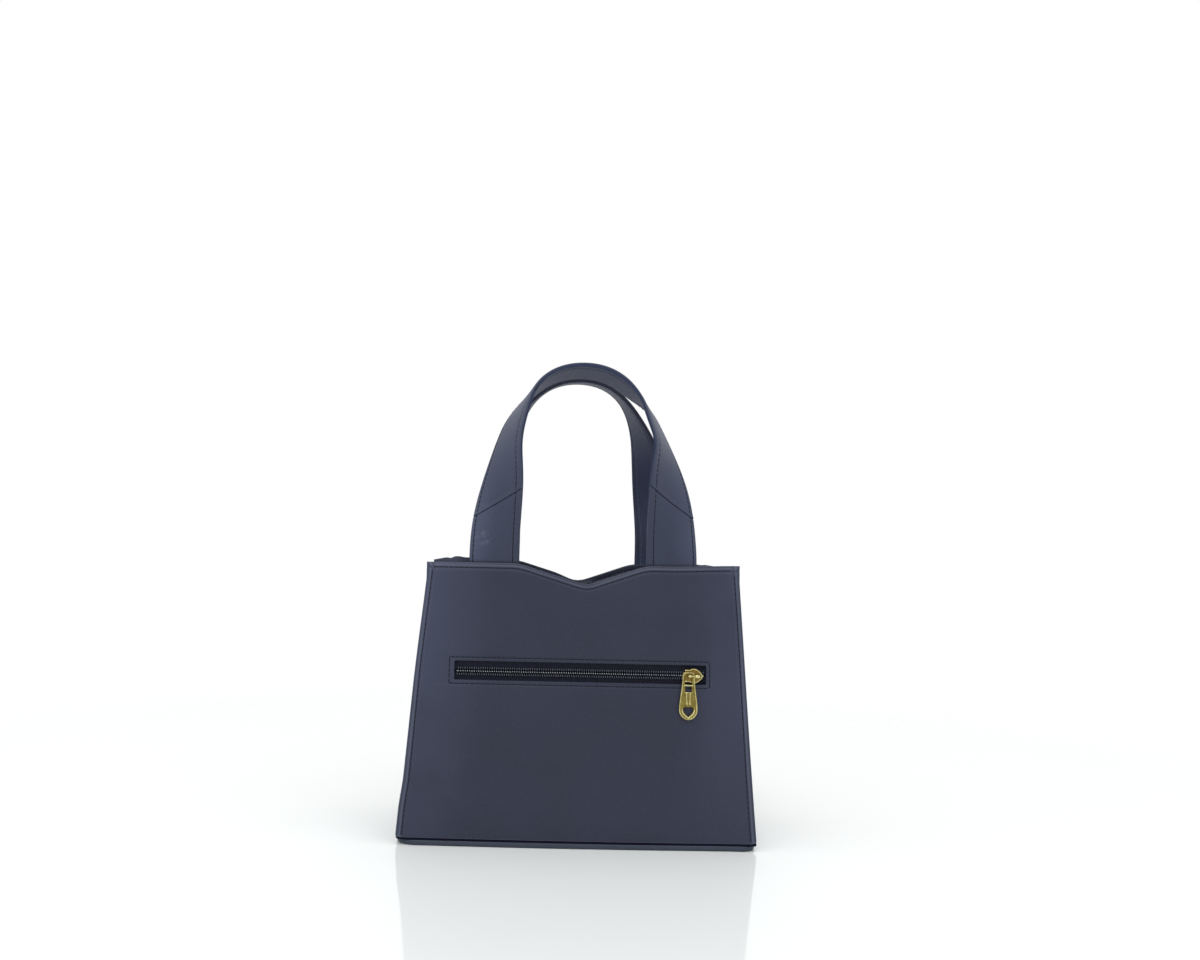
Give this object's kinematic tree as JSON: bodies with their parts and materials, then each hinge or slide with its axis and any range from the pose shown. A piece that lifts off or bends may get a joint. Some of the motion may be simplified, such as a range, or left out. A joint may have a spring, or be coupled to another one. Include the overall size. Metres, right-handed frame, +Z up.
{
  "type": "top handle bag",
  "caption": "Small structured leatherette handbag with arched strap handles, a notched top edge and a zipped slip pocket in its front wall.",
  "frame": {"origin": "on the floor under the middle of the base", "axes": "+Z up, front wall with the zip pocket towards -Y, +X to the viewer's right"},
  "size_m": [0.206, 0.084, 0.2816],
  "materials": {
    "leatherette": "fine grained, satin navy",
    "lining": "plain woven cloth",
    "board": "pressed fibre board",
    "zip_tape": "black herringbone tape",
    "zip_coil": "black nylon coil",
    "brass": "antique brass, worn",
    "snap": "nickel plated"
  },
  "bodies": {
    "bag": {"front_panel": "leatherette", "back_panel": "leatherette", "front_stiffener": "board", "back_stiffener": "board", "front_facing": "leatherette", "back_facing": "leatherette", "front_lining": "lining", "back_lining": "lining", "left_gusset": "leatherette", "right_gusset": "leatherette", "left_gusset_lining": "lining", "right_gusset_lining": "lining", "base_panel": "leatherette", "base_board": "board", "base_lining": "lining", "zip_upper_tape": "zip_tape", "zip_lower_tape": "zip_tape", "zip_upper_coil": "zip_coil", "zip_lower_coil": "zip_coil", "pocket_pouch": "lining", "front_handle_left_tab": "leatherette", "front_handle_right_tab": "leatherette", "back_handle_left_tab": "leatherette", "back_handle_right_tab": "leatherette", "front_snap": "snap", "back_snap": "snap", "front_snap_washer": "snap", "back_snap_washer": "snap"},
    "front_handle": {"front_handle_left_leg": "leatherette", "front_handle_right_leg": "leatherette", "front_handle_arch": "leatherette", "front_handle_backing": "leatherette"},
    "back_handle": {"back_handle_left_leg": "leatherette", "back_handle_right_leg": "leatherette", "back_handle_arch": "leatherette", "back_handle_backing": "leatherette"},
    "slider": {"zip_slider": "brass"},
    "pull": {"zip_pull": "brass"}
  },
  "joints": [
    {"name": "front_handle_fold", "type": "hinge", "parent": "bag", "child": "front_handle", "pos_m": [0, -0.03163, 0.16428], "axis": [1, 0, 0], "range_deg": [0, 105]},
    {"name": "back_handle_fold", "type": "hinge", "parent": "bag", "child": "back_handle", "pos_m": [0, 0.03163, 0.16428], "axis": [-1, 0, 0], "range_deg": [0, 105]},
    {"name": "zip_slide", "type": "slide", "parent": "bag", "child": "slider", "axis": [-1, 0, 0], "range_m": [0, 0.13]},
    {"name": "pull_swing", "type": "hinge", "parent": "slider", "child": "pull", "pos_m": [0.062, -0.03929, 0.10061], "axis": [0, 0.9987, -0.0502], "range_deg": [-35, 100]}
  ]
}
